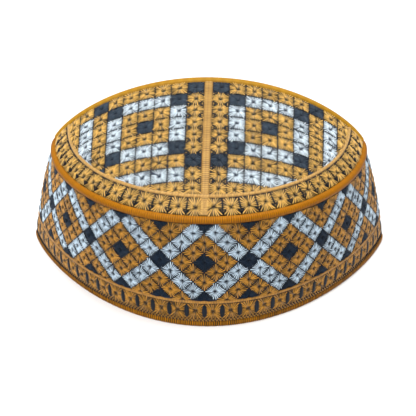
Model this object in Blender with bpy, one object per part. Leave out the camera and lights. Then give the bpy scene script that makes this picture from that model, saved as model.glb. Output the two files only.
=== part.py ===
"""Folding embroidered kufi, open and standing on its lower edge.

The hat is a round crown folded along its diameter, so that it rises to a ridge from
side to side, on an upright band that flares to a pointed oval opening. Front is -Y,
the ridge runs along X, and the floor is z = 0. All sizes are in metres.
"""

import math

import bpy
import numpy as np
from mathutils import Vector

# Lengths that drive the whole hat
BAND_HEIGHT = 0.0609        # from the floor to the crown's rim
SIDE_DIP = 0.0015           # how much lower the rim lies at the two side creases
BAND_BELLY = 0.0016         # outward swell of the band at half its height
RIDGE_RISE = 0.0364         # ridge above the rim at the middle
RIDGE_LEAN = 0.0080         # how far the ridge's middle stands behind its ends
RIDGE_POWER = 1.98          # roundness of the ridge's arch
RIDGE_END_POWER = 0.70      # steepness of the arch at its ends
CLOTH = 0.0020              # thickness of the stitched crown and band
GAP = 0.0003                # air between two pieces that touch

# Plan outlines at the lower edge (hem) and at the rim. Each half runs from side
# crease to side crease as depth * (1 - (x / half_width) ** power) ** end_power.
PLAN = {
    # name: (half_width, depth, power, end_power)
    "hem_front": (0.1020, 0.0920, 1.96, 0.827),
    "hem_back": (0.1020, 0.0920, 1.96, 0.827),
    "rim_front": (0.0878, 0.0935, 2.04, 0.575),
    "rim_back": (0.0878, 0.0935, 2.04, 0.700),
}

# Profile of the crown from the ridge to the rim
CROWN = {
    # side: (swell outwards, rounding downwards)
    "front": (0.286, 0.375),
    "back": (0.0, -0.10),
}
EDGE_SEARCH = (0.85, 0.995)  # shares of the crown's flat radius between which its edge lies
EDGE_HALVINGS = 24
EDGE_CLEARANCE = 0.0004     # air between the crown's edge and the piping
REACH_LIMIT = 0.9999        # largest share of the flat radius, just short of the ridge's end
NORMAL_STEP = 0.004         # share of the flat radius over which a normal is measured
RIDGE_SIDE_STEP = 1e-6      # share that tells the ridge's front side from its back
PIPING_SAMPLE_ANGLE = 0.5   # degrees between the places where the piping's nearness is measured

# Rolled piping round the crown
PIPING_RADIUS = 0.0020
PIPING_INSET = 0.0013       # centre of the roll inside the rim's outline
PIPING_LIFT = 0.0007        # centre of the roll above the rim's outline
PIPING_SIDES = 10

# Tape over the ridge
TAPE_HALF_WIDTH = 0.0022
TAPE_THICKNESS = 0.0009
TAPE_END_GAP = 0.004        # the tape stops this share short of where its middle would touch
TAPE_STEPS = 44
TAPE_SPREAD = (-1.0, -0.55, 0.0, 0.55, 1.0)     # places across the tape's half width
TAPE_CREST = (0.45, 0.9, 1.0, 0.9, 0.45)        # thickness there, as a share

# Binding of the lower edge: the band stands inside its top
BINDING_PROFILE = (
    # (outwards from the hem's outline, above the floor)
    (-0.0022, 0.0),
    (0.0000, 0.0),
    (0.0004, 0.0006),
    (0.0004, 0.0026),
    (0.0000, 0.0032),
    (-0.0024, 0.0032),
    (-0.0027, 0.0026),
    (-0.0027, 0.0006),
)
BINDING_HEIGHT = 0.0032

CLOTHS = {
    # material: (colour, roughness)
    "crown_cloth": ((0.52, 0.33, 0.11), 0.80),
    "crease_tape_cloth": ((0.55, 0.26, 0.02), 0.70),
    "piping_tape": ((0.50, 0.24, 0.02), 0.70),
    "band_cloth": ((0.42, 0.23, 0.06), 0.80),
    "binding_tape": ((0.43, 0.21, 0.02), 0.75),
}

# Fineness of the faceted solids
AROUND = 80                 # steps round the hat, a multiple of four
BAND_LEVELS = 7
CROWN_RINGS = 8
CURVE_SAMPLES = 1601


def clear_scene():
    for thing in list(bpy.data.objects):
        bpy.data.objects.remove(thing, do_unlink=True)
    for mesh in list(bpy.data.meshes):
        bpy.data.meshes.remove(mesh)


def half_outline(name, turns):
    """Points of one half outline, at places given from -1 to 1 along its length."""
    half_width, depth, power, end_power = PLAN[name]
    sweep = np.linspace(-1.0, 1.0, CURVE_SAMPLES)
    x = half_width * np.sin(sweep * math.pi / 2)
    inside = np.maximum(1.0 - np.abs(x / half_width) ** power, 0.0)
    y = depth * inside ** end_power
    run = np.concatenate([[0.0], np.cumsum(np.hypot(np.diff(x), np.diff(y)))])
    place = 2.0 * run / run[-1] - 1.0
    return np.interp(turns, place, x), np.interp(turns, place, y)


def loop(edge, angles):
    """Closed outline at the hem or the rim; angle 0 is the front's middle, 90 the right."""
    angles = (np.asarray(angles, float) + 180.0) % 360.0 - 180.0
    front = np.abs(angles) <= 90.0
    turns = np.where(front, angles / 90.0, np.sign(angles) * (180.0 - np.abs(angles)) / 90.0)
    front_x, front_y = half_outline(edge + "_front", turns)
    back_x, back_y = half_outline(edge + "_back", turns)
    x = np.where(front, front_x, back_x)
    y = np.where(front, -front_y, back_y)
    return x, y


def band_loop(angles, height):
    """Outer face of the band at a height above the floor."""
    share = height / BAND_HEIGHT
    hem_x, hem_y = loop("hem", angles)
    rim_x, rim_y = loop("rim", angles)
    x = hem_x + (rim_x - hem_x) * share
    y = hem_y + (rim_y - hem_y) * share
    reach = np.hypot(x, y)
    swell = 1.0 + 4.0 * share * (1.0 - share) * BAND_BELLY / reach
    dip = SIDE_DIP * np.sin(np.radians(angles)) ** 2 * share
    return np.stack([x * swell, y * swell, height - dip], axis=-1)


def ridge_curve():
    """Ridge from its middle to its right end: flat share, x, y, z."""
    half_width = PLAN["rim_front"][0]
    x = half_width * np.sin(np.linspace(0.0, math.pi / 2, CURVE_SAMPLES))
    arch = np.maximum(1.0 - (x / half_width) ** RIDGE_POWER, 0.0) ** RIDGE_END_POWER
    y = RIDGE_LEAN * arch
    z = RIDGE_RISE * arch + BAND_HEIGHT - SIDE_DIP
    steps = np.sqrt(np.diff(x) ** 2 + np.diff(y) ** 2 + np.diff(z) ** 2)
    run = np.concatenate([[0.0], np.cumsum(steps)])
    return run / run[-1], x, y, z


def crown_points(across, along):
    """Crown surface at flat places: across is to the right, along is to the front."""
    across = np.asarray(across, float)
    along = np.asarray(along, float)
    reach = np.minimum(np.abs(across), REACH_LIMIT)
    side = np.where(across < 0.0, -1.0, 1.0)
    share, ridge_x, ridge_y, ridge_z = ridge_curve()
    top = np.stack([
        side * np.interp(reach, share, ridge_x),
        np.interp(reach, share, ridge_y),
        np.interp(reach, share, ridge_z),
    ], axis=-1)
    turn = np.degrees(np.arcsin(reach))
    angles = side * np.where(along >= 0.0, turn, 180.0 - turn)
    foot = band_loop(angles, BAND_HEIGHT)
    down = np.clip(np.abs(along) / np.sqrt(1.0 - reach ** 2), 0.0, 1.0)
    front = along >= 0.0
    swell = np.where(front, CROWN["front"][0], CROWN["back"][0])
    rounding = np.where(front, CROWN["front"][1], CROWN["back"][1])
    out = (down * (1.0 + swell * (1.0 - down)))[..., None]
    fall = ((1.0 - rounding) * down + rounding * down ** 3)[..., None]
    plan = top[..., :2] + (foot[..., :2] - top[..., :2]) * out
    height = top[..., 2:] + (foot[..., 2:] - top[..., 2:]) * fall
    return np.concatenate([plan, height], axis=-1)


def crown_normals(across, along):
    """Outward normals of the crown, taken on the side of the ridge that the place is on."""
    step = NORMAL_STEP
    inward = np.where(along >= 0.0, along + step, along - step)
    here = crown_points(across, along)
    toward_rim = (crown_points(across, inward) - here) * np.where(along >= 0.0, 1.0, -1.0)[..., None]
    toward_right = crown_points(across + step, along) - crown_points(across - step, along)
    normal = np.cross(toward_rim, toward_right)
    return normal / np.linalg.norm(normal, axis=-1, keepdims=True)


def inset(points, distance):
    """A closed loop moved inwards in plan by an even distance; corners are mitred."""
    plan = points[:, :2]
    edge = np.roll(plan, -1, axis=0) - plan
    edge /= np.linalg.norm(edge, axis=1, keepdims=True)
    out = np.stack([edge[:, 1], -edge[:, 0]], axis=1)
    before = np.roll(out, 1, axis=0)
    mitre = (out + before) / (1.0 + np.sum(out * before, axis=1, keepdims=True))
    moved = points.copy()
    moved[:, :2] -= mitre * distance
    return moved


def edge_shares(angles, lifts):
    """How far out the crown reaches at each flat angle before it touches the piping.

    It is tried with the surface raised along its normal by each of the lifts, so a
    layer's upper and lower face are both kept clear.
    """
    centre = inset(band_loop(np.arange(0.0, 360.0, PIPING_SAMPLE_ANGLE), BAND_HEIGHT), PIPING_INSET)
    centre[:, 2] += PIPING_LIFT
    radians = np.radians(angles)
    low = np.full(len(angles), EDGE_SEARCH[0])
    high = np.full(len(angles), EDGE_SEARCH[1])
    for _ in range(EDGE_HALVINGS):
        middle = (low + high) / 2.0
        across = middle * np.sin(radians)
        along = middle * np.cos(radians)
        surface = crown_points(across, along)
        normal = crown_normals(across, along)
        apart = np.full(len(angles), np.inf)
        for lift in lifts:
            points = surface + lift * normal
            reach = np.linalg.norm(points[:, None, :] - centre[None, :, :], axis=-1)
            apart = np.minimum(apart, reach.min(axis=1))
        clear = apart > PIPING_RADIUS + EDGE_CLEARANCE
        low = np.where(clear, middle, low)
        high = np.where(clear, high, middle)
    return low


def make_material(name):
    colour, roughness = CLOTHS[name]
    material = bpy.data.materials.new(name)
    material.use_nodes = True
    shader = material.node_tree.nodes["Principled BSDF"]
    shader.inputs["Base Color"].default_value = (*colour, 1.0)
    shader.inputs["Roughness"].default_value = roughness
    shader.inputs["Metallic"].default_value = 0.0
    return material


def make_object(name, verts, faces, cloth):
    mesh = bpy.data.meshes.new(name)
    mesh.from_pydata([tuple(v) for v in verts], [], faces)
    mesh.validate()
    for face in mesh.polygons:
        face.use_smooth = True
    mesh.materials.append(make_material(cloth))
    piece = bpy.data.objects.new(name, mesh)
    bpy.context.scene.collection.objects.link(piece)
    return piece


def ring_solid(name, loops, cloth):
    """A closed body from loops of equal count, joined one to the next and the last to the first."""
    count = len(loops[0])
    verts = np.concatenate(loops)
    faces = []
    for row in range(len(loops)):
        following = (row + 1) % len(loops)
        for i in range(count):
            j = (i + 1) % count
            faces.append((row * count + i, row * count + j, following * count + j, following * count + i))
    return make_object(name, verts, faces, cloth)


def build_side_band(angles):
    low = BINDING_HEIGHT + GAP
    high = BAND_HEIGHT + PIPING_LIFT - PIPING_RADIUS - GAP
    heights = np.linspace(low, high, BAND_LEVELS)
    outer = [band_loop(angles, h) for h in heights]
    inner = [inset(row, CLOTH) for row in outer]
    return ring_solid("side_band", outer + inner[::-1], "band_cloth")


def build_edge_binding(angles):
    hem = band_loop(angles, 0.0)
    loops = []
    for outwards, height in BINDING_PROFILE:
        row = inset(hem, -outwards)
        row[:, 2] = height
        loops.append(row)
    return ring_solid("edge_binding", loops, "binding_tape")


def build_crown_piping(angles):
    rim = band_loop(angles, BAND_HEIGHT)
    loops = []
    for k in range(PIPING_SIDES):
        turn = 2.0 * math.pi * k / PIPING_SIDES
        row = inset(rim, PIPING_INSET - PIPING_RADIUS * math.cos(turn))
        row[:, 2] += PIPING_LIFT + PIPING_RADIUS * math.sin(turn)
        loops.append(row)
    return ring_solid("crown_piping", loops, "piping_tape")


def build_crown(angles):
    radians = np.radians(angles)
    verts = [crown_points(np.array([0.0]), np.array([0.0]))]
    edge = edge_shares(angles, (0.0, -CLOTH / 2.0, -CLOTH))
    edge = np.minimum(edge, np.minimum(np.roll(edge, 1), np.roll(edge, -1)))
    for ring in range(1, CROWN_RINGS + 1):
        reach = edge * ring / CROWN_RINGS
        across = reach * np.sin(radians)
        along = reach * np.cos(radians)
        along[np.abs(along) < RIDGE_SIDE_STEP] = 0.0
        verts.append(crown_points(across, along))
    verts = np.concatenate(verts)
    count = len(angles)
    faces = [(0, 1 + i, 1 + (i + 1) % count) for i in range(count)]
    for ring in range(CROWN_RINGS - 1):
        first = 1 + ring * count
        second = first + count
        for i in range(count):
            j = (i + 1) % count
            faces.append((first + i, second + i, second + j, first + j))
    piece = make_object("crown", verts, faces, "crown_cloth")
    wall = piece.modifiers.new("cloth", "SOLIDIFY")
    wall.thickness = CLOTH
    wall.offset = -1.0
    wall.use_even_offset = True
    wall.use_quality_normals = True
    return piece


def build_crease_tape():
    flat_radius = crease_flat_radius()
    end = float(edge_shares(np.array([90.0]), (GAP,))[0]) - TAPE_END_GAP
    places = np.linspace(-end, end, TAPE_STEPS + 1)
    upper = []
    lower = []
    for spread, crest in zip(TAPE_SPREAD, TAPE_CREST):
        along = np.full_like(places, spread * TAPE_HALF_WIDTH / flat_radius)
        base = crown_points(places, along)
        if spread == 0.0:
            normal = crown_normals(places, along + RIDGE_SIDE_STEP)
            normal += crown_normals(places, along - RIDGE_SIDE_STEP)
            normal /= np.linalg.norm(normal, axis=-1, keepdims=True)
        else:
            normal = crown_normals(places, along)
        lower.append(base + normal * GAP)
        upper.append(base + normal * (GAP + TAPE_THICKNESS * crest))
    rows = lower + upper[::-1]
    count = len(rows)
    verts = np.stack(rows, axis=1).reshape(-1, 3)
    faces = []
    for step in range(TAPE_STEPS):
        for k in range(count):
            here = step * count + k
            beside = step * count + (k + 1) % count
            faces.append((here, beside, beside + count, here + count))
    half = count // 2
    last = TAPE_STEPS * count
    for k in range(half - 1):
        faces.append((k, count - 1 - k, count - 2 - k, k + 1))
        faces.append((last + k, last + k + 1, last + count - 2 - k, last + count - 1 - k))
    return make_object("crease_tape", verts, faces, "crease_tape_cloth")


def crease_flat_radius():
    """Length of the ridge from its middle to one end, which is the crown's flat radius."""
    _, x, y, z = ridge_curve()
    return float(np.sum(np.sqrt(np.diff(x) ** 2 + np.diff(y) ** 2 + np.diff(z) ** 2)))


def face_outwards(piece):
    """Turn a closed piece's faces so that its volume comes out positive."""
    mesh = piece.data
    volume = 0.0
    for face in mesh.polygons:
        corners = [mesh.vertices[i].co for i in face.vertices]
        for a, b in zip(corners[1:-1], corners[2:]):
            volume += Vector(corners[0]).dot(a.cross(b))
    if volume < 0.0:
        mesh.flip_normals()


def main():
    clear_scene()
    angles = np.arange(AROUND) * 360.0 / AROUND - 180.0
    crown = build_crown(angles)
    if crown.data.polygons[0].normal.z < 0.0:
        crown.data.flip_normals()
    for piece in (
        build_crease_tape(),
        build_crown_piping(angles),
        build_side_band(angles),
        build_edge_binding(angles),
    ):
        face_outwards(piece)


main()
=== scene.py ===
# %% [markdown]
# # A folding embroidered kufi
# The hat stands open on its lower edge: a round crown creased into a ridge, rolled
# piping, an upright band and a bound edge. Everything that gives it its look is thread.
# Each stitched motif is made flat, in the pattern's own squares, and then wrapped onto
# the hat by one function, just as the cloth is embroidered flat and sewn afterwards.

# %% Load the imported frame
import math
import bmesh
import bpy
import numpy as np
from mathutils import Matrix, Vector


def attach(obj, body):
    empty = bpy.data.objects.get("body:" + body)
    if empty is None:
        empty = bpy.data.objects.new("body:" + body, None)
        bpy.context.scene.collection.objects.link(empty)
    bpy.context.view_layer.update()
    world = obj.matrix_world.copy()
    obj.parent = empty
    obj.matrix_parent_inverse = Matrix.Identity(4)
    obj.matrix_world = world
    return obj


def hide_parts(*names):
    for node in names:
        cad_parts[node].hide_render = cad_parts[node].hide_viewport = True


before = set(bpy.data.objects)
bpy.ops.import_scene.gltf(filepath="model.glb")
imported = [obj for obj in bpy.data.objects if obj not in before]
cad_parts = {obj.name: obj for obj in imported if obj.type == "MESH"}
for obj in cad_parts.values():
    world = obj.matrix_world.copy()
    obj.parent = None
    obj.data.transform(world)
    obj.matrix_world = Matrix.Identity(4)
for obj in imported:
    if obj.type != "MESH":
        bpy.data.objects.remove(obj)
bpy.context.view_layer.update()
print("nodes", sorted(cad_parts))

# %% [markdown]
# ## The hat's shape
# The real hat is cut from stiff cloth, and its form is set by two oval outlines and one
# arch. These sizes are the ones that the solids were made from. The outline of each half
# runs from side crease to side crease, and the ridge leans a little backwards. A scan or
# a sculpted mesh could give the form too, but formulas let every stitch find its place.

# %% Sizes
MM = 0.001
BAND_HEIGHT = 60.9 * MM
SIDE_DIP = 1.5 * MM
BAND_BELLY = 1.6 * MM
RIDGE_RISE = 36.4 * MM
RIDGE_LEAN = 8.0 * MM
RIDGE_POWER = 1.98
RIDGE_END_POWER = 0.70
PLAN = {
    # outline: (half_width, depth, power, end_power)
    "hem_front": (0.1020, 0.0920, 1.96, 0.827),
    "hem_back": (0.1020, 0.0920, 1.96, 0.827),
    "rim_front": (0.0878, 0.0935, 2.04, 0.575),
    "rim_back": (0.0878, 0.0935, 2.04, 0.700),
}
CROWN_SWELL = {"front": 0.286, "back": 0.0}
CROWN_ROUNDING = {"front": 0.375, "back": -0.10}
PIPING_RADIUS = 2.0 * MM
PIPING_INSET = 1.3 * MM
PIPING_LIFT = 0.7 * MM
FLAT_RADIUS = 10.9          # the crown's flat radius, counted in squares
REACH_LIMIT = 0.9999        # largest share of that radius, just short of the ridge's end
BORDER_STARS = 60
CURVE_SAMPLES = 1601

# %% Outline of the hem and the rim
def path_length(*axes):
    """The length of a path from its start to each of its points."""
    steps = np.sqrt(sum(np.diff(axis) ** 2 for axis in axes))
    return np.concatenate([[0.0], np.cumsum(steps)])


def half_outline(name):
    """Where a half outline lies at each share of its length, from -1 to 1."""
    half_width, depth, power, end_power = PLAN[name]
    sweep = np.linspace(-1.0, 1.0, CURVE_SAMPLES)
    x = half_width * np.sin(sweep * math.pi / 2)
    y = depth * np.maximum(1.0 - np.abs(x / half_width) ** power, 0.0) ** end_power
    run = path_length(x, y)
    return 2.0 * run / run[-1] - 1.0, x, y


OUTLINES = {name: half_outline(name) for name in PLAN}


def outline(edge, angles):
    """Plan of the hem or the rim: x and y at each angle."""
    angles = (angles + 180.0) % 360.0 - 180.0
    front = np.abs(angles) <= 90.0
    turns = np.where(front, angles / 90.0, np.sign(angles) * (180.0 - np.abs(angles)) / 90.0)
    place, front_x, front_y = OUTLINES[edge + "_front"]
    back_place, back_x, back_y = OUTLINES[edge + "_back"]
    x = np.where(front, np.interp(turns, place, front_x), np.interp(turns, back_place, back_x))
    y = np.where(front, -np.interp(turns, place, front_y), np.interp(turns, back_place, back_y))
    return x, y


def band_surface(angles, height):
    """Outer face of the band; angle 0 is the middle of the front, 90 the right crease."""
    share = height / BAND_HEIGHT
    hem_x, hem_y = outline("hem", angles)
    rim_x, rim_y = outline("rim", angles)
    x = hem_x + (rim_x - hem_x) * share
    y = hem_y + (rim_y - hem_y) * share
    swell = 1.0 + 4.0 * share * (1.0 - share) * BAND_BELLY / np.hypot(x, y)
    dip = SIDE_DIP * np.sin(np.radians(angles)) ** 2 * share
    return np.stack([x * swell, y * swell, height - dip], axis=-1)


# %% Surface of the crown
def ridge_curve():
    """Right half of the ridge: share of its length, then x, y and z."""
    half_width = PLAN["rim_front"][0]
    x = half_width * np.sin(np.linspace(0.0, math.pi / 2, CURVE_SAMPLES))
    arch = np.maximum(1.0 - (x / half_width) ** RIDGE_POWER, 0.0) ** RIDGE_END_POWER
    y = RIDGE_LEAN * arch
    z = RIDGE_RISE * arch + BAND_HEIGHT - SIDE_DIP
    run = path_length(x, y, z)
    return run / run[-1], x, y, z


RIDGE = ridge_curve()


def crown_surface(across, along):
    """The crown at flat places in squares: across to the right, along to the front."""
    across = across / FLAT_RADIUS
    along = along / FLAT_RADIUS
    reach = np.minimum(np.abs(across), REACH_LIMIT)
    side = np.where(across < 0.0, -1.0, 1.0)
    top = np.stack([
        side * np.interp(reach, RIDGE[0], RIDGE[1]),
        np.interp(reach, RIDGE[0], RIDGE[2]),
        np.interp(reach, RIDGE[0], RIDGE[3]),
    ], axis=-1)
    front = along >= 0.0
    turn = np.degrees(np.arcsin(reach))
    foot = band_surface(side * np.where(front, turn, 180.0 - turn), np.full_like(across, BAND_HEIGHT))
    down = np.clip(np.abs(along) / np.sqrt(1.0 - reach ** 2), 0.0, 1.0)
    swell = np.where(front, CROWN_SWELL["front"], CROWN_SWELL["back"])
    rounding = np.where(front, CROWN_ROUNDING["front"], CROWN_ROUNDING["back"])
    out = (down * (1.0 + swell * (1.0 - down)))[..., None]
    fall = ((1.0 - rounding) * down + rounding * down ** 3)[..., None]
    plan = top[..., :2] + (foot[..., :2] - top[..., :2]) * out
    height = top[..., 2:] + (foot[..., 2:] - top[..., 2:]) * fall
    return np.concatenate([plan, height], axis=-1)


# %% [markdown]
# ## Wrapping flat work onto the hat
# Flat work has two numbers across the cloth and a third for how far the thread stands
# off it. The wrap finds the surface there and moves along its normal. On the ridge the
# normals of the two slopes are blended, so that the tape over it keeps an even height.
# A surface-deform modifier could do the same, and a function keeps it in one place.

# %% Wrap functions
CROWN_STEP = 0.03           # squares over which the crown's normal is measured
CROWN_SIDE = 0.001          # squares that tell the ridge's front side from its back
RIDGE_BLEND = 0.16          # squares over which the two sides' normals are blended
BAND_STEP = 0.35            # degrees over which the band's normal is measured
BAND_RISE = 0.5 * MM        # and the height over which it is measured


def unit(vectors):
    return vectors / np.linalg.norm(vectors, axis=-1, keepdims=True)


def crown_normal(across, along, side):
    """Normal of the crown's front (side 1) or back (side -1), measured away from the ridge."""
    along = np.maximum(along * side, CROWN_SIDE) * side
    right = crown_surface(across + CROWN_STEP, along) - crown_surface(across - CROWN_STEP, along)
    forward = crown_surface(across, along + CROWN_STEP * side) - crown_surface(across, along)
    return unit(np.cross(forward * side, right))


def wrap_crown(flat):
    """Flat crown: squares to the right, squares to the front, metres off the cloth."""
    across, along, lift = flat[:, 0], flat[:, 1], flat[:, 2]
    front = crown_normal(across, along, 1.0)
    back = crown_normal(across, along, -1.0)
    share = np.clip(along / RIDGE_BLEND * 0.5 + 0.5, 0.0, 1.0)[:, None]
    normal = unit(front * share + back * (1.0 - share))
    return crown_surface(across, along) + normal * lift[:, None]


def wrap_border(flat):
    """Flat border: steps round the crown, squares from its middle, metres off the cloth."""
    angle = flat[:, 0] / BORDER_STARS * 2.0 * math.pi
    return wrap_crown(np.stack([flat[:, 1] * np.sin(angle), flat[:, 1] * np.cos(angle), flat[:, 2]], axis=-1))


def wrap_band(flat):
    """Flat band: degrees round the hat, metres above the floor, metres off the cloth."""
    angles, height, lift = flat[:, 0], flat[:, 1], flat[:, 2]
    round_way = band_surface(angles + BAND_STEP, height) - band_surface(angles - BAND_STEP, height)
    up = band_surface(angles, height + BAND_RISE) - band_surface(angles, height - BAND_RISE)
    normal = unit(np.cross(round_way, up))
    return band_surface(angles, height) + normal * lift[:, None]


def level_outward(angles, height):
    """The level direction straight off the band's outline at one height."""
    ahead = band_surface(angles + BAND_STEP, height) - band_surface(angles - BAND_STEP, height)
    return unit(np.stack([ahead[:, 1], -ahead[:, 0], np.zeros_like(angles)], axis=-1))


def wrap_rim(flat):
    """Degrees round the hat, turn round the piping in radians, metres from its centre."""
    angles, turn, reach = flat[:, 0], flat[:, 1], flat[:, 2]
    level = np.full_like(angles, BAND_HEIGHT)
    outward = level_outward(angles, level)
    up = np.array([0.0, 0.0, 1.0])
    centre = band_surface(angles, level) - outward * PIPING_INSET + up * PIPING_LIFT
    return centre + outward * (np.cos(turn) * reach)[:, None] + up * (np.sin(turn) * reach)[:, None]


print("ridge top", np.round(wrap_crown(np.array([[0.0, 0.0, 0.0]]))[0], 4).tolist())

# %% [markdown]
# ## Shader maths
# A stitch's colour changes from thread to thread, which takes a few node sums. One small
# class wraps a socket, so that a mask is written as an expression and not as a list of
# links. Colours go through Mix nodes, because a Math node would turn them grey.

# %% Shader helper
def linear(red, green, blue):
    """A colour as a screen shows it, 0 to 255, as the light values that a shader takes."""
    def one(value):
        value /= 255.0
        return value / 12.92 if value <= 0.04045 else ((value + 0.055) / 1.055) ** 2.4
    return (one(red), one(green), one(blue), 1.0)


class Thread:
    """A socket of a node tree that takes part in arithmetic."""

    def __init__(self, tree, socket):
        self.tree = tree
        self.socket = socket

    def node(self, kind, settings=None, **inputs):
        """Add a node. An input goes by its socket's name, or by i and its number."""
        made = self.tree.nodes.new(kind)
        for key, value in (settings or {}).items():
            setattr(made, key, value)
        for key, value in inputs.items():
            numbered = key[0] == "i" and key[1:].isdigit()
            slot = made.inputs[int(key[1:]) if numbered else key]
            if isinstance(value, Thread):
                self.tree.links.new(value.socket, slot)
            else:
                slot.default_value = value
        return made

    def math(self, operation, first, second=0.0):
        made = self.node("ShaderNodeMath", {"operation": operation}, i0=first, i1=second)
        return Thread(self.tree, made.outputs[0])

    def noise(self, **inputs):
        made = self.node("ShaderNodeTexNoise", {}, **inputs)
        return Thread(self.tree, made.outputs["Fac"])

    def __add__(self, other):
        return self.math("ADD", self, other)

    __radd__ = __add__

    def __mul__(self, other):
        return self.math("MULTIPLY", self, other)

    __rmul__ = __mul__

    def __sub__(self, other):
        return self.math("SUBTRACT", self, other)

    def __rsub__(self, other):
        return self.math("SUBTRACT", other, self)

    def mix(self, low, high):
        """Colour that goes from low to high as this value goes from 0 to 1."""
        settings = {"data_type": "RGBA", "clamp_factor": True}
        made = self.node("ShaderNodeMix", settings, i0=self, i6=low, i7=high)
        return Thread(self.tree, made.outputs[2])


def new_material(name):
    material = bpy.data.materials.new(name)
    material.use_nodes = True
    tree = material.node_tree
    return material, tree, tree.nodes["Principled BSDF"]


# %% [markdown]
# ## Thread finishes
# Embroidery thread shines along its length, and each thread has its own streak. An image
# of stitches could show it, but noise works at any distance: it is stretched along the
# stitch, where the UV map's first number counts threads and its second runs along them.
# The tone attribute paints shade into the valleys between threads and a highlight on their crests. The
# band's gold, sky and navy are the crown's colours darkened, as painted shade for the upright band, which
# gets less of the top light.

# %% Thread materials
def thread_material(name, dark, light, roughness=0.48, sheen=0.15, streak=1.0, shine=0.3):
    """Thread that goes from dark in its valleys to light on its crests: painted shade and painted highlight.
    """
    material, tree, shader = new_material(name)
    start = Thread(tree, None)
    uv = Thread(tree, start.node("ShaderNodeUVMap", {"uv_map": "thread"}).outputs[0])
    tone = Thread(tree, start.node("ShaderNodeAttribute", {"attribute_name": "tone"}).outputs["Fac"])
    stretch = start.node("ShaderNodeMapping", {}, Vector=uv, Scale=(1.0, 0.35, 1.0))
    stretched = Thread(tree, stretch.outputs[0])
    streaks = start.noise(Vector=stretched, Scale=1.7, Detail=3.0, Roughness=0.6)
    place = Thread(tree, start.node("ShaderNodeTexCoord").outputs["Object"])
    cloud = start.noise(Vector=place, Scale=55.0, Detail=2.0)
    # tone paints shade into the valleys and a highlight onto the crests; the streaks and the cloud vary the
    # colour at random
    amount = (streaks - 0.5) * (1.6 * streak) + (tone - 0.5) * 1.1 + (cloud - 0.5) * 0.3 + 0.66
    colour = amount.mix(dark, light)
    tree.links.new(colour.socket, shader.inputs["Base Color"])
    fibres = start.noise(Vector=stretched, Scale=6.0, Detail=2.0)
    bump = start.node("ShaderNodeBump", {}, Strength=0.35, Distance=0.0002, Height=fibres + streaks * 0.5)
    tree.links.new(bump.outputs[0], shader.inputs["Normal"])
    rough = (streaks - 0.5) * 0.25 + roughness
    tree.links.new(rough.socket, shader.inputs["Roughness"])
    shader.inputs["Sheen Weight"].default_value = sheen
    shader.inputs["Sheen Roughness"].default_value = 0.4
    shader.inputs["Specular IOR Level"].default_value = shine
    return material


GLOSSY = {"roughness": 0.42}
BRIGHT = {"roughness": 0.40}
MATT = {"sheen": 0.0, "shine": 0.15}
SATIN = {"streak": 0.6}
TAPE = {"sheen": 0.0, "streak": 0.6, "shine": 0.1}
OVERCAST = {"sheen": 0.0, "streak": 0.8, "shine": 0.1}
PALETTE = {
    # thread: (colour in the valleys, with painted shade; colour on the crests, with painted highlight;
    # finish)
    "thread_gold": ((32, 21, 10), (233, 184, 94), GLOSSY),
    # the band's gold, sky and navy are the crown's darkened: painted shade for the upright band
    "thread_band_gold_shaded": ((16, 11, 7), (203, 143, 46), GLOSSY),
    "thread_sky": ((24, 42, 62), (228, 242, 250), BRIGHT),
    "thread_band_sky_shaded": ((12, 24, 40), (208, 228, 243), BRIGHT),
    "thread_navy": ((12, 20, 32), (63, 75, 87), MATT),
    "thread_band_navy_shaded": ((6, 12, 20), (24, 40, 58), MATT),
    "thread_ink": ((8, 14, 22), (32, 50, 68), MATT),
    "thread_tan_satin": ((104, 72, 28), (184, 142, 68), SATIN),
    "thread_ring_satin": ((128, 92, 42), (214, 170, 94), SATIN),
    "thread_band_satin": ((56, 34, 8), (204, 144, 54), SATIN),
    "thread_mustard": ((84, 45, 0), (170, 107, 3), TAPE),
    "thread_ridge": ((122, 88, 20), (182, 132, 30), TAPE),
    "thread_edge_mustard": ((40, 25, 2), (190, 122, 12), OVERCAST),
}
THREAD = {
    name: thread_material(name, linear(*dark), linear(*light), **finish)
    for name, (dark, light, finish) in PALETTE.items()
}
CROWN_THREADS = [THREAD["thread_gold"], THREAD["thread_sky"], THREAD["thread_navy"]]
BAND_SHADED_THREADS = [THREAD["thread_band_gold_shaded"], THREAD["thread_band_sky_shaded"], THREAD["thread_band_navy_shaded"]]
print(len(THREAD), "threads")

# %% [markdown]
# ## Ground cloth
# Under the stitches lies a plain navy weave, which shows as dark lines between the
# squares. It is hardly seen, so noise gives its grain and no threads are modelled.

# %% Ground material
def ground_material():
    material, tree, shader = new_material("ground_cloth")
    start = Thread(tree, None)
    place = Thread(tree, start.node("ShaderNodeTexCoord").outputs["Object"])
    grain = start.noise(Vector=place, Scale=900.0, Detail=2.0)
    tree.links.new(grain.mix(linear(6, 9, 16), linear(26, 32, 46)).socket, shader.inputs["Base Color"])
    bump = start.node("ShaderNodeBump", {}, Strength=0.5, Distance=0.0002, Height=grain)
    tree.links.new(bump.outputs[0], shader.inputs["Normal"])
    shader.inputs["Roughness"].default_value = 0.85
    shader.inputs["Specular IOR Level"].default_value = 0.2
    return material


GROUND = ground_material()


# %% [markdown]
# ## Finishing a piece
# Every flat piece goes the same way: it is wrapped, gets its threads' materials and
# rides on the hat's one body. One helper does this, so that no piece misses a step.

# %% Piece helper
MIRRORING = (wrap_crown, wrap_border)   # flat work to the right and the front is mirrored


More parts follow.
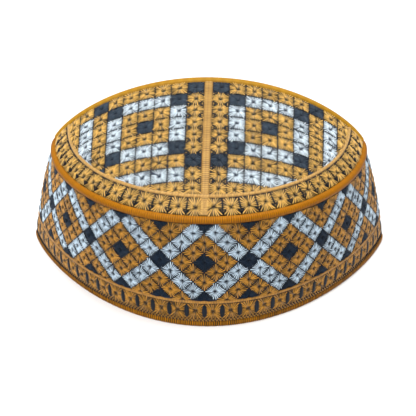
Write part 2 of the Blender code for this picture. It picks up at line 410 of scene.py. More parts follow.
def finish_piece(bm, name, wrap, materials):
    """Wrap flat work onto the hat and make an object of it."""
    if wrap in MIRRORING:
        bmesh.ops.reverse_faces(bm, faces=list(bm.faces))
    flat = np.array([v.co[:] for v in bm.verts])
    placed = wrap(flat)
    for vert, co in zip(bm.verts, placed):
        vert.co = co
    mesh = bpy.data.meshes.new(name)
    bm.to_mesh(mesh)
    bm.free()
    for material in materials:
        mesh.materials.append(material)
    piece = bpy.data.objects.new(name, mesh)
    bpy.context.scene.collection.objects.link(piece)
    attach(piece, "root")
    triangles = sum(len(p.vertices) - 2 for p in mesh.polygons)
    print(name, triangles, "triangles")
    return piece


def smooth(piece):
    for face in piece.data.polygons:
        face.use_smooth = True
    return piece


def join_ends(piece, distance=0.03 * MM):
    """Close a strip where its two ends meet."""
    bm = bmesh.new()
    bm.from_mesh(piece.data)
    bmesh.ops.remove_doubles(bm, verts=bm.verts, dist=distance)
    bm.to_mesh(piece.data)
    bm.free()
    return piece


# %% [markdown]
# The ground of the crown is a round of cloth, and the band's is a strip sewn to a ring.
# A copy of the solids would do, but flat sheets wrapped a little below the stitches
# follow them evenly: the circle's edge is extruded ring by ring, the strip is a grid,
# and both get their thickness inwards.

# %% Ground of the crown and of the band
GROUND_DEPTH = -0.35 * MM
SHADE_HEIGHT = 5.5 * MM     # above it the gold backing lies in the shade of the stitches
OPEN_TONE = 0.50
SHADE_TONE = 0.05
SEAM_REACH = 0.957          # share of the crown's flat radius where its cloth ends
CLOTH = 1.6 * MM


def face_up(bm):
    """Turn flat work so that every face looks off the cloth."""
    bm.normal_update()
    bmesh.ops.reverse_faces(bm, faces=[f for f in bm.faces if f.normal.z < 0.0])
    return bm


def disc(rings, segments, radius):
    """A round of flat cloth."""
    bm = bmesh.new()
    bmesh.ops.create_circle(bm, cap_ends=True, cap_tris=True, segments=segments, radius=radius / rings)
    edges = [e for e in bm.edges if e.is_boundary]
    for ring in range(2, rings + 1):
        made = bmesh.ops.extrude_edge_only(bm, edges=edges)["geom"]
        verts = [g for g in made if isinstance(g, bmesh.types.BMVert)]
        edges = [g for g in made if isinstance(g, bmesh.types.BMEdge) and g.is_boundary]
        grow = ring / (ring - 1.0)
        bmesh.ops.scale(bm, vec=(grow, grow, 1.0), verts=verts)
    return face_up(bm)


def thicken(piece, thickness):
    """Give a sheet its thickness, inwards."""
    wall = piece.modifiers.new("cloth", "SOLIDIFY")
    wall.thickness = thickness
    wall.offset = -1.0
    wall.use_even_offset = True
    return piece


bm = disc(22, 120, FLAT_RADIUS * SEAM_REACH)
for v in bm.verts:
    v.co.z = GROUND_DEPTH
crown_ground = finish_piece(bm, "crown_ground", wrap_crown, [GROUND])
thicken(smooth(crown_ground), CLOTH)
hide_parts("crown")


def sheet_strip(round_steps, up_steps, low, high, lift):
    """A flat strip once round the hat; join_ends closes it when it is wrapped."""
    bm = bmesh.new()
    bmesh.ops.create_grid(bm, x_segments=round_steps, y_segments=up_steps, size=0.5)
    for v in bm.verts:
        v.co = (v.co.x * 360.0, low + (v.co.y + 0.5) * (high - low), lift)
    shade = bm.verts.layers.float.new("tone")
    for v in bm.verts:
        v[shade] = OPEN_TONE if v.co.y < SHADE_HEIGHT else SHADE_TONE
    return bm


bm = sheet_strip(240, 14, 3.3 * MM, 59.2 * MM, GROUND_DEPTH)
band_ground = finish_piece(bm, "band_ground", wrap_band, [GROUND])
thicken(smooth(join_ends(band_ground, 0.02 * MM)), CLOTH)
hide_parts("side_band")

# %% [markdown]
# ## One stitched star
# Each square is an eyelet stitch: threads run from a small hole in the middle to the
# square's edge. Single threads as curves would take millions of faces, so one star is
# one sheet. A circle round the hole is extruded outwards twice. Each thread has three
# spokes, a valley and the two sides of its crest. The crests reach the edge and the
# valleys stop short, so the edge is ragged. A few versions keep neighbours from matching.

# %% Star templates
rng = np.random.default_rng(58)
THREADS = 24                # a crest points at each corner, so a multiple of eight
SPOKES = 3 * THREADS        # one valley and the two sides of a crest for each thread
SPOKE_PLACES = ((0.5, 0.80, 1.20), (0.5, 0.87, 1.13))   # inside, then at the tips
STAR_RINGS = (
    # share of the way to the edge, then heights in mm and tones of a crest and a valley: painted highlight on
    # the crest, painted shade in the valley, darkest at the hole and the edge, where the dark ground shows
    # too
    (0.075, -0.25, -0.25, -0.85, -0.85),
    (0.42, 0.42, -0.04, 0.30, -1.25),
    (1.00, 0.10, -0.33, 0.12, -1.90),
)
STAR_POWERS = (2.0, 6.0, 20.0)      # from a round hole to a square edge
KINDS = {
    # colour: shortest and longest crest, shortest and longest valley, strength of the painted shade and
    # highlight
    "gold": (0.96, 1.18, 0.54, 0.80, 1.0),
    "sky": (0.96, 1.20, 0.50, 0.78, 1.0),
    "navy": (0.98, 1.03, 0.90, 1.00, 0.5),
}
TURN_RANGE = 0.10           # how far a thread may lie off its even place, in threads
TINT_SPREAD = 0.22          # how much one thread's tone differs from the next
LEAN_RANGE = 0.10           # how far the hole may lie off the middle, in half squares
CORNER_REACH = 1.36         # a corner's distance from the middle, in half squares
EDGE_ROOM = 0.30            # how far a thread may pass the edge's middle; none at a corner


def star_template(index, kind):
    """One star on a square from -1 to 1, as arrays of its points, faces and tones."""
    crest_short, crest_long, valley_short, valley_long, strength = KINDS[kind]
    bm = bmesh.new()
    bmesh.ops.create_circle(bm, cap_ends=False, segments=SPOKES, radius=STAR_RINGS[0][0])
    edges = list(bm.edges)
    ring_of = bm.verts.layers.int.new("ring")
    for ring, row in enumerate(STAR_RINGS[1:], start=1):
        made = bmesh.ops.extrude_edge_only(bm, edges=edges)["geom"]
        verts = [g for g in made if isinstance(g, bmesh.types.BMVert)]
        fresh = set(verts)
        edges = [g for g in made if isinstance(g, bmesh.types.BMEdge) and set(g.verts) <= fresh]
        grow = row[0] / STAR_RINGS[ring - 1][0]
        bmesh.ops.scale(bm, vec=(grow, grow, 1.0), verts=verts)
        for v in verts:
            v[ring_of] = ring
    dice = np.random.default_rng(100 + index)
    reach = dice.uniform(crest_short, crest_long, THREADS)
    notch = dice.uniform(valley_short, valley_long, THREADS)
    turn = dice.uniform(-TURN_RANGE, TURN_RANGE, THREADS)
    tint = dice.normal(0.0, TINT_SPREAD, THREADS)
    lean = dice.uniform(-LEAN_RANGE, LEAN_RANGE, 2)
    points, spokes, rings, tones = [], [], [], []
    for v in bm.verts:
        number = int(round(math.atan2(v.co.y, v.co.x) / (2.0 * math.pi / SPOKES))) % SPOKES
        thread, part = number // 3, number % 3
        crest = part > 0
        last = v[ring_of] == len(STAR_RINGS) - 1
        place = thread + SPOKE_PLACES[last][part] + (turn[thread] if crest else 0.0)
        angle = place * 2.0 * math.pi / THREADS
        power = STAR_POWERS[v[ring_of]]
        square = (abs(math.cos(angle)) ** power + abs(math.sin(angle)) ** power) ** (-1.0 / power)
        share, high, low, high_tone, low_tone = STAR_RINGS[v[ring_of]]
        out = share * square
        if last:
            room = 1.0 + EDGE_ROOM * max(CORNER_REACH - square, 0.0) / (CORNER_REACH - 1.0)
            out *= min(reach[thread], room) if crest else notch[thread]
        points.append((
            math.cos(angle) * out + lean[0] * (1.0 - share),
            math.sin(angle) * out + lean[1] * (1.0 - share),
            (high if crest else low) * MM,
        ))
        spokes.append(number)
        rings.append(v[ring_of])
        # crests get a painted highlight and valleys painted shade; tint varies each thread at random
        tones.append(strength * ((high_tone + tint[thread]) if crest else low_tone))
    face_up(bm)
    bm.verts.index_update()
    faces = [[v.index for v in f.verts] for f in bm.faces]
    bm.free()
    return {"points": np.array(points), "spokes": np.array(spokes), "rings": np.array(rings),
            "faces": np.array(faces), "tones": np.array(tones)}


VERSIONS = 8
STARS = [[star_template(10 * n + k, kind) for k in range(VERSIONS)] for n, kind in enumerate(KINDS)]
print("star", len(STARS[0][0]["faces"]), "faces")


# %% [markdown]
# ## A field of stars
# A cloth holds hundreds of stars. Copies as objects would be slow and could not be cut,
# so squares are set out as rows of place, size, turn and colour, and the templates are
# joined into one flat mesh. It can still be cut with a straight line before it is wrapped.

# %% Field builder
TONE_SPREAD = 0.04          # how much one star's tone differs from the next
UV_SPREAD = 50              # how far apart two stars' streaks may be taken from the noise


def turned(points, angle):
    """Flat points turned about the middle, in radians."""
    c, s = math.cos(angle), math.sin(angle)
    return points @ np.array([[c, s], [-s, c]])


def star_field(squares):
    """squares: rows of (x, y, half_width, half_height, turn, colour index)."""
    points, faces, uvs, tones, colours = [], [], [], [], []
    start = 0
    for x, y, half_width, half_height, turn, colour in squares:
        star = STARS[colour][rng.integers(VERSIONS)]
        p = star["points"].copy()
        quarter = rng.integers(4) * math.pi / 2
        p[:, :2] = turned(turned(p[:, :2], quarter), turn)
        p[:, 0] = x + p[:, 0] * half_width
        p[:, 1] = y + p[:, 1] * half_height
        points.append(p)
        faces.append(star["faces"] + start)
        base = rng.uniform(0, UV_SPREAD)
        spoke = star["spokes"][star["faces"]].astype(float)
        last = np.ptp(spoke, axis=1) > SPOKES / 2      # the face that closes the round
        spoke[last] = np.where(spoke[last] < SPOKES / 2, spoke[last] + SPOKES, spoke[last])
        ring = star["rings"][star["faces"]] / 2.0
        uvs.append(np.stack([spoke / 3.0 + base, ring + base], axis=-1).reshape(-1, 2))
        tones.append(0.5 + rng.normal(0.0, TONE_SPREAD) + star["tones"])
        colours.append(np.full(len(star["faces"]), colour))
        start += len(p)
    mesh = bpy.data.meshes.new("flat_stars")
    mesh.from_pydata(np.concatenate(points).tolist(), [], np.concatenate(faces).tolist())
    mesh.uv_layers.new(name="thread").data.foreach_set("uv", np.concatenate(uvs).ravel())
    tone = mesh.attributes.new("tone", "FLOAT", "POINT")
    tone.data.foreach_set("value", np.concatenate(tones))
    mesh.polygons.foreach_set("material_index", np.concatenate(colours).astype(np.int32))
    bm = bmesh.new()
    bm.from_mesh(mesh)
    bpy.data.meshes.remove(mesh)
    return bm


def cut(bm, point, normal):
    """Cut flat work along a straight line and drop what lies past it."""
    geom = list(bm.verts) + list(bm.edges) + list(bm.faces)
    bmesh.ops.bisect_plane(bm, geom=geom, plane_co=point, plane_no=normal, clear_outer=True)


# %% [markdown]
# ## Small dark stitches
# Here and there a single dark thread lies over the stars. A curve for each would do, but
# at their size a stretched ball of a few faces looks the same. It is set out from rows
# of place, size and turn, and joined into one mesh for each kind.

# %% Needle builder
STITCH_STREAKS = 9.0        # streaks of colour for each unit of the pattern


def small_shape(around, along):
    """A ball of one unit's radius, as points and faces."""
    bm = bmesh.new()
    bmesh.ops.create_uvsphere(bm, u_segments=around, v_segments=along, radius=1.0)
    points = np.array([v.co[:] for v in bm.verts])
    faces = [[v.index for v in f.verts] for f in bm.faces]
    bm.free()
    return points, faces


NEEDLE = small_shape(6, 4)
OVAL = small_shape(16, 8)


def stitch_field(shape, rows, unit=(1.0, 1.0), lift=0.0):
    """rows: (x, y, half_length, half_width, height, turn); unit scales the shape's plane."""
    points, faces = shape
    x, y, length, width, height, turn = (column[:, None] for column in np.array(rows, float).T)
    along = points[:, 0] * length
    across = points[:, 1] * width
    placed = np.stack([
        x + (along * np.cos(turn) - across * np.sin(turn)) * unit[0],
        y + (along * np.sin(turn) + across * np.cos(turn)) * unit[1],
        points[:, 2] * height + lift,
    ], axis=-1)
    joined = [[i + k * len(points) for i in face] for k in range(len(rows)) for face in faces]
    mesh = bpy.data.meshes.new("flat_stitches")
    mesh.from_pydata(placed.reshape(-1, 3).tolist(), [], joined)
    bm = bmesh.new()
    bm.from_mesh(mesh)
    bpy.data.meshes.remove(mesh)
    uv = bm.loops.layers.uv.new("thread")
    for face in bm.faces:
        for loop in face.loops:
            loop[uv].uv = (loop.vert.co.x * STITCH_STREAKS, loop.vert.co.y * STITCH_STREAKS)
    return bm


# %% [markdown]
# ## Chart of the crown
# The crown's pattern repeats in four quarters: a pale frame with navy corners round nine
# gold squares with a navy heart, and a few navy squares in the gold round it. A painted
# map of colours would be blurred, so the chart is typed as an embroiderer reads it, with
# columns outwards from the stripe and rows from the ridge.

# %% Crown chart
COLOUR = {".": 0, "s": 1, "n": 2}
CROWN_CHART = (
    # columns A to I from the stripe outwards, one row for each line from the ridge
    "n.....n..",
    ".nsssn.s.",
    ".s...s.s.",
    ".s.n.s.s.",
    ".s...s.s.",
    ".nsssn.s.",
    "n.....n..",
    ".ssssss..",
    ".........",
)
STRIPE_HALF = 0.25          # half the stripe's width, in squares, as are the next sizes
RING_INNER = 9.13
RING_OUTER = 9.34
CROWN_CUT = RING_INNER + 0.10       # faces past this are dropped
CROWN_REACH = RING_INNER + 0.06     # no square's thread runs further out than this
RING_EDGE = RING_INNER - 0.03       # past it, threads lie low enough for the ring to cover them
FILL = (0.462, 0.478)       # half a square's stitched width and depth


def crown_squares():
    squares = []
    for row, line in enumerate(CROWN_CHART):
        for column, mark in enumerate(line):
            across = STRIPE_HALF + column + 0.5
            along = STRIPE_HALF + row + 0.5
            if math.hypot(across - 0.5, along - 0.5) > RING_OUTER:
                continue
            for side in (-1, 1):
                for end in (-1, 1):
                    squares.append((across * side, along * end, *FILL, 0.0, COLOUR[mark]))
    return squares


bm = star_field(crown_squares())
outside = [f for f in bm.faces if min(v.co.xy.length for v in f.verts) > CROWN_CUT]
bmesh.ops.delete(bm, geom=outside, context="FACES")
for v in bm.verts:
    reach = v.co.xy.length
    if reach > RING_EDGE:
        v.co.z = min(v.co.z, 0.05 * MM)
    if reach > CROWN_REACH:
        v.co.x *= CROWN_REACH / reach
        v.co.y *= CROWN_REACH / reach
crown_stars = finish_piece(bm, "crown_stars", wrap_crown, CROWN_THREADS)
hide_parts("crown")

# %% [markdown]
# ## Border of the crown
# Sixty gold stars stand round the crown between the ring and the piping. They could be
# squares of the chart bent at the edge, but on the real hat they follow the piping, so
# they are laid out by steps round the crown and wrapped by their own function.

# %% Crown border
BORDER_LOW = RING_OUTER + 0.09
BORDER_HIGH = 10.46
BORDER_MIDDLE = (BORDER_LOW + BORDER_HIGH) / 2.0
BORDER_HALF = (BORDER_HIGH - BORDER_LOW) / 2.0
BORDER_FILL = 0.455         # half a star's stitched width, in steps
squares = [(k + 0.5, BORDER_MIDDLE, BORDER_FILL, BORDER_HALF, 0.0, 0) for k in range(BORDER_STARS)]
bm = star_field(squares)
border_stars = finish_piece(bm, "border_stars", wrap_border, CROWN_THREADS[:1])
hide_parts("crown")

# %% [markdown]
# Dark needle stitches lie along the lines between the squares. Beside the stripe they
# point at each line like arrowheads, and in the border each pair of stars is parted by a
# long one with two short barbs. The bare ground alone would leave these lines too faint.

# %% Dark stitches of the crown
COLUMNS = len(CROWN_CHART[0])
LINES_END = RING_INNER - 0.4        # stitches past this would lie under the ring
ROW_NEEDLE = (0.050, 0.50 * MM)     # half width and height of each kind of stitch
COLUMN_NEEDLE = (0.032, 0.36 * MM)
ARROW = (0.21, 0.070, 0.60 * MM)    # with half its length first
ARROW_PLACES = ((STRIPE_HALF + 0.17, -1), (STRIPE_HALF + 0.85, 1))  # place, and way it points
ARROW_OPENING = 38.0


def line_stitches(line, side, end):
    """Stitches of one line of one quarter: across it, along its column, and arrowheads."""
    rows = []
    along = (STRIPE_HALF + line) * end
    for column in range(COLUMNS):
        across = (STRIPE_HALF + column + 0.5) * side
        if math.hypot(across, along) < LINES_END and column > 0:
            length = rng.uniform(0.30, 0.44)
            rows.append((across + rng.uniform(-0.06, 0.06), along, length, *ROW_NEEDLE, 0.0))
        across, beside = (STRIPE_HALF + line) * side, (STRIPE_HALF + column + 0.5) * end
        if math.hypot(across, beside) < LINES_END:
            rows.append((across, beside, rng.uniform(0.38, 0.49), *COLUMN_NEEDLE, math.pi / 2))
    for across, point in ARROW_PLACES:
        for slant in (-1, 1):
            turn = math.radians(ARROW_OPENING * slant * point * side * end)
            rows.append((across * side, along + 0.12 * slant * end, *ARROW, turn))
    return rows


rows = []
for line in range(1, COLUMNS):
    for side in (-1, 1):
        for end in (-1, 1):
            rows.extend(line_stitches(line, side, end))
bm = stitch_field(NEEDLE, rows)
row_stitches = finish_piece(bm, "row_stitches", wrap_crown, [THREAD["thread_ink"]])
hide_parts("crown")

BARS_PER_QUARTER = BORDER_STARS // 4        # the first of each lies under the stripe or ridge
BAR = (0.42, 0.058, 0.54 * MM)              # half length, half width and height
BARB = (0.22, 0.040, 0.58 * MM)
BARB_OPENING = 42.0
rows = []
for k in range(BORDER_STARS):
    if k % BARS_PER_QUARTER:
        rows.append((float(k), BORDER_MIDDLE, *BAR, math.pi / 2))
        for barb in (-1, 1):
            turn = math.radians(90.0 + BARB_OPENING * barb)
            rows.append((k + 0.13 * barb, BORDER_MIDDLE + 0.24, *BARB, turn))
bm = stitch_field(NEEDLE, rows)
border_stitches = finish_piece(bm, "border_stitches", wrap_border, [THREAD["thread_ink"]])
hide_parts("crown")

# %% [markdown]
# ## Satin bands
# The stripe over the crown, the ring, the line on the band and the tape over the ridge
# are satin stitch: close parallel threads laid across a narrow path. Bump alone would
# leave their edges smooth, so a grid gives them, with every second row of points a little
# lower and its cross-section rounded. Strands of a twisted path are beads along it.

# %% Satin builder
BEAD_SLANT = 1.6            # how far a twisted strand runs on as it crosses the path
BEAD_DEPTH = 0.45           # how deep the strands are parted, as a share of the height
BEAD_TONE = 3.0             # painted shade: how much darker the gaps between strands are
GROOVE_WIDTH = 0.15         # width of the dent where two rows of stitches meet
FOOT = 0.30 * MM            # how far a path's edges reach under the stitches beside it


def satin(steps, across_steps, place, half_width, height, rib, groove=0.0, beads=0):
    """place maps a share along, 0 to 1, and a way across, in the path's unit, to flat work."""
    bm = bmesh.new()
    bmesh.ops.create_grid(bm, x_segments=steps, y_segments=across_steps, size=0.5)
    uv = bm.loops.layers.uv.new("thread")
    shade = bm.verts.layers.float.new("tone")
    for f in bm.faces:
        for loop in f.loops:
            loop[uv].uv = ((loop.vert.co.x + 0.5) * steps / 2.0, (loop.vert.co.y + 0.5) * 2.0)
    share = np.array([(v.co.x + 0.5, v.co.y * 2.0) for v in bm.verts])
    row = np.rint(share[:, 0] * steps).astype(int)
    crest = np.where(row % 2 == 0, 0.0, -rib)
    profile = np.sqrt(np.maximum(1.0 - np.abs(share[:, 1]) ** 2.6, 0.0))
    profile = profile * (1.0 - groove * np.exp(-(share[:, 1] / GROOVE_WIDTH) ** 2))
    strand = beads * 2.0 * np.pi * share[:, 0] + BEAD_SLANT * share[:, 1]
    bead = (0.5 - 0.5 * np.cos(strand)) * (beads > 0)
    lift = -FOOT + profile * (height * (1.0 - BEAD_DEPTH * bead) + FOOT + crest)
    flat = place(share[:, 0], share[:, 1] * half_width, lift)
    wobble_and_shade = np.sin(row * 2.399) * 0.5 + np.sin(row * 0.37) - BEAD_TONE * bead      # rows vary at random, and the gaps between strands get painted shade
    for k, (v, co) in enumerate(zip(bm.verts, flat)):
        v.co = co
        # painted highlight on the raised rows, painted shade on the sunk rows, in the gaps between strands
        # and down the rounded sides
        thread = 0.25 if crest[k] == 0.0 else -0.35
        v[shade] = 0.5 + 0.08 * wobble_and_shade[k] + thread - (1.0 - profile[k]) * 0.5
    return bm


def stripe_place(share, across, lift):
    along = (share - 0.5) * 2.0 * BORDER_HIGH
    return np.stack([across, along, lift], axis=-1)


bm = satin(300, 12, stripe_place, STRIPE_HALF + 0.005, 0.34 * MM, 0.12 * MM, groove=0.35)
crown_stripe = finish_piece(bm, "crown_stripe", wrap_crown, [THREAD["thread_tan_satin"]])
smooth(crown_stripe)
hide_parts("crown")


def ring_place(share, across, lift):
    angle = share * 2.0 * math.pi
    reach = (RING_INNER + RING_OUTER) / 2.0 + across
    return np.stack([reach * np.sin(angle), reach * np.cos(angle), lift], axis=-1)


bm = satin(2560, 7, ring_place, 0.112, 0.44 * MM, 0.05 * MM, beads=320)
crown_ring = finish_piece(bm, "crown_ring", wrap_crown, [THREAD["thread_ring_satin"]])
join_ends(smooth(crown_ring))
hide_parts("crown")

# %% [markdown]
# The tape over the ridge is the same stitch, thicker and in mustard. It hides the crease
# where the cloth folds. It could be a bent ribbon of its own, but the satin builder
# already lays threads along any path on the crown.

# %% Ridge tape
RIDGE_REACH = 10.42


def ridge_place(share, across, lift):
    return np.stack([(share - 0.5) * 2.0 * RIDGE_REACH, across, lift], axis=-1)


bm = satin(620, 12, ridge_place, 0.255, 1.05 * MM, 0.08 * MM)
ridge_tape = finish_piece(bm, "ridge_tape", wrap_crown, [THREAD["thread_ridge"]])
smooth(ridge_tape)
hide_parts("crease_tape")

# %% [markdown]
# ## Piping
# A strip of mustard cloth is rolled over a cord and sewn between crown and band. A curve
# with a round bevel would be smooth; a grid rolled round the rim has a row of points for
# each rib of the cloth. Its underside is painted darker, as painted shade, and the sunk rows between ribs get
# painted shade too.

# %% Piping
PIPING_STEPS = 1040
PIPING_SIDES = 16
PIPING_RIB = 0.09 * MM
PIPING_SAG = 0.05 * MM
bm = bmesh.new()
bmesh.ops.create_grid(bm, x_segments=PIPING_STEPS, y_segments=PIPING_SIDES, size=0.5)
uv = bm.loops.layers.uv.new("thread")
for f in bm.faces:
    for loop in f.loops:
        place = loop.vert.co
        loop[uv].uv = ((place.x + 0.5) * PIPING_STEPS / 2.0, (place.y + 0.5) * 6.0)
shade = bm.verts.layers.float.new("tone")
for v in bm.verts:
    row = int(round((v.co.x + 0.5) * PIPING_STEPS))
    turn = v.co.y * 2.0 * math.pi
    # painted highlight on the raised rows, painted shade on the sunk rows and on the underside; the sine of
    # the row varies them at random
    thread, rib = (0.22, 0.0) if row % 2 else (-0.34, PIPING_RIB)
    v[shade] = 0.36 + thread + 0.10 * math.sin(row * 2.4) + 0.20 * math.sin(turn)
    sag = PIPING_SAG * math.sin(row * 0.11) * math.sin(row * 0.031 + 1.0)
    v.co = (v.co.x * 360.0, turn, PIPING_RADIUS - rib + sag)
piping_roll = finish_piece(bm, "piping_roll", wrap_rim, [THREAD["thread_mustard"]])
join_ends(smooth(piping_roll))
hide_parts("crown_piping")

# %% [markdown]
# ## Lattice of the band
# The band's squares stand on their points. Every fourth one on both slants is navy, the
# ones between are pale, and each diamond of nine golden squares has a navy heart. The
# repeat is so short that a rule gives the colours, where the crown needed a chart. The
# lattice is cut off straight at its foot and at the rim, as on the real band.

# %% Band lattice
HALF_REPEATS = 26
STEP = 360.0 / HALF_REPEATS
NODE_HEIGHT = 39.1 * MM     # the middle row of navy squares above the floor
NODE_RISE = 21.7 * MM       # half a repeat above it, and below it
NODE_FALL = 22.2 * MM
LATTICE_LOW = 16.6 * MM
LATTICE_HIGH = 60.0 * MM
LATTICE_FILL = 0.25 / math.sqrt(2.0) * 0.945    # half a square's stitched width


def wrap_lattice(flat):
    """Flat band in half repeats round the hat and half repeats up from the middle nodes."""
    height = NODE_HEIGHT + flat[:, 1] * np.where(flat[:, 1] > 0.0, NODE_RISE, NODE_FALL)
    return wrap_band(np.stack([flat[:, 0] * STEP, height, flat[:, 2]], axis=-1))


def lattice_mark(i, j):
    """Colour of the square that is i squares along one slant and j along the other."""
    i, j = i % 4, j % 4
    if (i, j) in ((0, 0), (2, 2)):
        return COLOUR["n"]
    return COLOUR["s"] if 0 in (i, j) else COLOUR["."]


low = (LATTICE_LOW - NODE_HEIGHT) / NODE_FALL
high = (LATTICE_HIGH - NODE_HEIGHT) / NODE_RISE
squares = []
for i in range(-8, 60):
    for j in range(-8, 60):
        x = 1.0 + (i + j) / 4.0
        y = (i - j) / 4.0
        if 0.999 <= x < 1.0 + HALF_REPEATS - 0.001 and low - 0.24 < y < high + 0.24:
            squares.append((x, y, LATTICE_FILL, LATTICE_FILL, math.pi / 4, lattice_mark(i, j)))
bm = star_field(squares)
cut(bm, (0.0, low, 0.0), (0.0, -1.0, 0.0))
cut(bm, (0.0, high, 0.0), (0.0, 1.0, 0.0))
band_stars = finish_piece(bm, "band_stars", wrap_lattice, BAND_SHADED_THREADS)
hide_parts("side_band")

# %% [markdown]
# Dark needle stitches lie between the lattice's squares too, along both slants. They
# come from the same rows as the squares, so each lies on an edge between two.

# %% Dark stitches of the lattice
LATTICE_NEEDLE = (0.016, 0.54 * MM)         # half width and height
HALF_SQUARE = 0.125
rows = []
for x, y, _, _, _, _ in squares:
    for slope in (-1, 1):
        if low + 0.10 < y - HALF_SQUARE < high - 0.10:
            shift = rng.uniform(-0.03, 0.03)
            across = x + HALF_SQUARE * slope + shift
            along = y - HALF_SQUARE + shift * slope
            rows.append((across, along, rng.uniform(0.11, 0.16), *LATTICE_NEEDLE, slope * math.pi / 4))
bm = stitch_field(NEEDLE, rows)
lattice_stitches = finish_piece(bm, "lattice_stitches", wrap_lattice, [THREAD["thread_ink"]])
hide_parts("side_band")

# %% [markdown]
# Under the lattice runs a satin line, and under that a row of stars with navy ovals
# between them: five to each repeat of the lattice, one of them under each point. The
# same builders make them, each with a wrap that counts in the row's own unit.

# %% Line and lower border
LINE_HEIGHT = 15.6 * MM


def line_place(share, across, lift):
    return np.stack([share * 360.0, LINE_HEIGHT + across, lift], axis=-1)


bm = satin(1450, 8, line_place, 0.88 * MM, 0.42 * MM, 0.14 * MM, groove=0.3)
band_line = finish_piece(bm, "band_line", wrap_band, [THREAD["thread_band_satin"]])
join_ends(smooth(band_line))
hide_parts("side_band")

OVALS = 65
LOWER_LOW = 5.6 * MM
LOWER_HIGH = 14.3 * MM


def wrap_lower(flat):
    """Flat border in ovals round the hat and metres above the floor."""
    return wrap_band(np.stack([flat[:, 0] * 360.0 / OVALS, flat[:, 1], flat[:, 2]], axis=-1))


LOWER_MIDDLE = (LOWER_LOW + LOWER_HIGH) / 2.0
LOWER_HALF = (LOWER_HIGH - LOWER_LOW) / 2.0
LOWER_FILL = 0.46           # half a star's stitched width, in ovals
squares = [(k + 0.5, LOWER_MIDDLE, LOWER_FILL, LOWER_HALF, 0.0, 0) for k in range(OVALS)]
lower_stars = finish_piece(star_field(squares), "lower_stars", wrap_lower, BAND_SHADED_THREADS[:1])
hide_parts("side_band")

# %% [markdown]
# The ovals are padded satin. A flat spot of colour would lose the light on their upper
# side, so each is a flattened ball that stands up between two stars.

# %% Ovals
OVAL_PITCH = 8.9 * MM
OVAL_WIDTH = MM / OVAL_PITCH        # one millimetre, counted in ovals
OVAL_SIZE = (1.38, 4.2, 0.62 * MM)  # half width and half depth in mm, and height
rows = [(float(k), LOWER_MIDDLE, *OVAL_SIZE, 0.0) for k in range(OVALS)]
bm = stitch_field(OVAL, rows, unit=(OVAL_WIDTH, MM))
band_ovals = smooth(finish_piece(bm, "band_ovals", wrap_lower, [THREAD["thread_ink"]]))
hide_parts("side_band")

# %% [markdown]
# ## Lower edge
# The edge is overcast: upright threads wrap round it from the outside to the inside.
# A plain tube would lose the threads, so a grid is wrapped round the edge's profile, and
# every second row of points is sunk between two threads.

# %% Edge binding
EDGE_PROFILE = (
    # (outwards, height) in mm, once round the edge and up its outer face
    (0.05, 0.12), (0.38, 0.7), (0.44, 1.6), (0.40, 2.6), (0.05, 3.25), (-1.1, 3.35),
    (-2.35, 3.25), (-2.65, 2.6), (-2.7, 1.6), (-2.65, 0.7), (-2.3, 0.12), (-1.1, 0.0),
)
EDGE_CENTRE = np.array([-1.13 * MM, 1.65 * MM])
EDGE_STEPS = 1060


def wrap_edge(flat):
    """Degrees round the hat, place along the profile, and how far the thread stands proud."""
    angles, place, proud = flat[:, 0], flat[:, 1], flat[:, 2]
    count = len(EDGE_PROFILE)
    where = place * count % count
    below = np.floor(where).astype(int)
    share = where - below
    table = np.array(EDGE_PROFILE) * MM
    point = table[below % count] * (1.0 - share)[:, None] + table[(below + 1) % count] * share[:, None]
    point = EDGE_CENTRE + (point - EDGE_CENTRE) * (1.0 + proud[:, None])
    floor_level = np.zeros_like(angles)
    placed = band_surface(angles, floor_level) + level_outward(angles, floor_level) * point[:, :1]
    placed[:, 2] = np.maximum(point[:, 1], 0.0)
    return placed


bm = bmesh.new()
bmesh.ops.create_grid(bm, x_segments=EDGE_STEPS, y_segments=12, size=0.5)
uv = bm.loops.layers.uv.new("thread")
for f in bm.faces:
    for loop in f.loops:
        place = loop.vert.co
        loop[uv].uv = ((place.x + 0.5) * EDGE_STEPS / 2.0, (place.y + 0.5) * 3.0)
shade = bm.verts.layers.float.new("tone")
for v in bm.verts:
    row = int(round((v.co.x + 0.5) * EDGE_STEPS))
    # painted highlight on the raised rows, painted shade on the sunk rows between threads; the sine of the
    # row varies them at random
    thread, proud = (0.25, 0.03) if row % 2 else (-0.85, -0.10)
    v[shade] = 0.5 + thread + 0.20 * math.sin(row * 2.4)
    v.co = (v.co.x * 360.0, v.co.y + 0.5, proud + 0.02 * math.sin(row * 0.9))
edge_roll = finish_piece(bm, "edge_roll", wrap_edge, [THREAD["thread_edge_mustard"]])
join_ends(smooth(edge_roll))
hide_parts("edge_binding")

# %% [markdown]
# Just above the edge, two rows of small dark slanting stitches hold it to the band. They
# lie on a gold backing, which also shows between the stars of the lower border. They
# could be cut into the backing's colour, but stitches that stand up catch the light.

# %% Slanting stitches above the edge
BACKING_LOW = 3.2 * MM      # gold backing of the lower border, just under its stars
BACKING_HIGH = 14.2 * MM
bm = sheet_strip(720, 8, BACKING_LOW, BACKING_HIGH, -0.30 * MM)
edge_row = join_ends(smooth(finish_piece(bm, "edge_row", wrap_band, BAND_SHADED_THREADS[:1])))
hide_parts("side_band")

SLANTS = 5 * OVALS
SLANT_ROWS = ((0.0, 3.95 * MM, -40.0), (0.5, 5.15 * MM, 40.0))      # start, height and slant
SLANT_SIZE = (0.72, 0.36, 0.40 * MM)        # half length and half width in mm, and height
rows = []
for k in range(SLANTS):
    for shift, height, slant in SLANT_ROWS:
        rows.append(((k + shift) * OVALS / SLANTS, height, *SLANT_SIZE, math.radians(slant)))
bm = stitch_field(NEEDLE, rows, unit=(OVAL_WIDTH, MM), lift=0.05 * MM)
edge_slants = finish_piece(bm, "edge_slants", wrap_lower, [THREAD["thread_ink"]])
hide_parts("side_band")

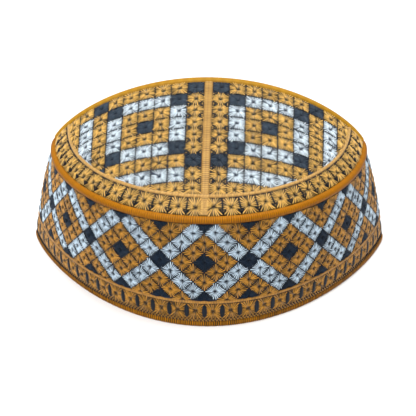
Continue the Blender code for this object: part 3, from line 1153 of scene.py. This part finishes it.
# %% [markdown]
# ## Floor and light
# The photo is a shop picture on white: bright all round, with the strongest light from
# the upper left and hardly a shadow. A pale world and two large soft lamps give it. An
# image of a studio would too, but lamps can be moved. The floor only catches the shadow.

# %% Floor and studio
bm = bmesh.new()
bmesh.ops.create_grid(bm, x_segments=1, y_segments=1, size=4.0)
floor_mesh = bpy.data.meshes.new("floor")
bm.to_mesh(floor_mesh)
bm.free()
floor = bpy.data.objects.new("floor", floor_mesh)
bpy.context.scene.collection.objects.link(floor)
floor_material, floor_tree, floor_shader = new_material("pale_floor")
floor_shader.inputs["Base Color"].default_value = (0.92, 0.92, 0.92, 1.0)
floor_shader.inputs["Roughness"].default_value = 0.9
floor_mesh.materials.append(floor_material)

world = bpy.data.worlds.new("studio")
bpy.context.scene.world = world
world.use_nodes = True
world.node_tree.nodes["Background"].inputs["Color"].default_value = (1.0, 1.0, 1.0, 1.0)
world.node_tree.nodes["Background"].inputs["Strength"].default_value = 0.55


def area_light(name, place, target, size, power):
    data = bpy.data.lights.new(name, "AREA")
    data.shape = "SQUARE"
    data.size = size
    data.energy = power
    lamp = bpy.data.objects.new(name, data)
    lamp.location = place
    lamp.rotation_mode = "QUATERNION"
    lamp.rotation_quaternion = (Vector(target) - Vector(place)).to_track_quat("-Z", "Y")
    bpy.context.scene.collection.objects.link(lamp)
    return lamp


LIGHTS = (
    # name, place, what it looks at, size, power
    ("key", (-0.35, -0.75, 1.1), (0.0, 0.0, 0.04), 0.5, 14.5),
    ("top", (0.15, 0.15, 1.3), (0.0, 0.0, 0.05), 0.7, 12.5),
)
for row in LIGHTS:
    area_light(*row)
print(len(LIGHTS), "lights")

# %% [markdown]
# ## Camera
# The camera stands a little above the hat, at its front. Its angle, distance and lens
# were fitted to the outlines in the photo; a longer or shorter lens would change how
# much narrower the crown looks than the lower edge.

# %% Camera
ELEVATION = 28.0
AZIMUTH = 1.34
DISTANCE = 0.5632
TARGET = Vector((-0.00041, 0.0, 0.01924))
FOCAL_PIXELS = 967.1
PICTURE_PIXELS = 416.0
SENSOR = 36.0
e, a = math.radians(ELEVATION), math.radians(AZIMUTH)
back = Vector((math.sin(a) * math.cos(e), -math.cos(a) * math.cos(e), math.sin(e)))
camera_data = bpy.data.cameras.new("camera")
camera_data.sensor_width = SENSOR
camera_data.lens = FOCAL_PIXELS * SENSOR / PICTURE_PIXELS
camera = bpy.data.objects.new("camera", camera_data)
camera.location = TARGET + back * DISTANCE
camera.rotation_mode = "QUATERNION"
camera.rotation_quaternion = (-back).to_track_quat("-Z", "Y")
bpy.context.scene.collection.objects.link(camera)
bpy.context.scene.camera = camera
bpy.context.scene.view_settings.view_transform = "Standard"

# %% [markdown]
# ## End
# The needlework stands a little off the cloth. The view layer is updated once more.

# %% End
bpy.context.view_layer.update()
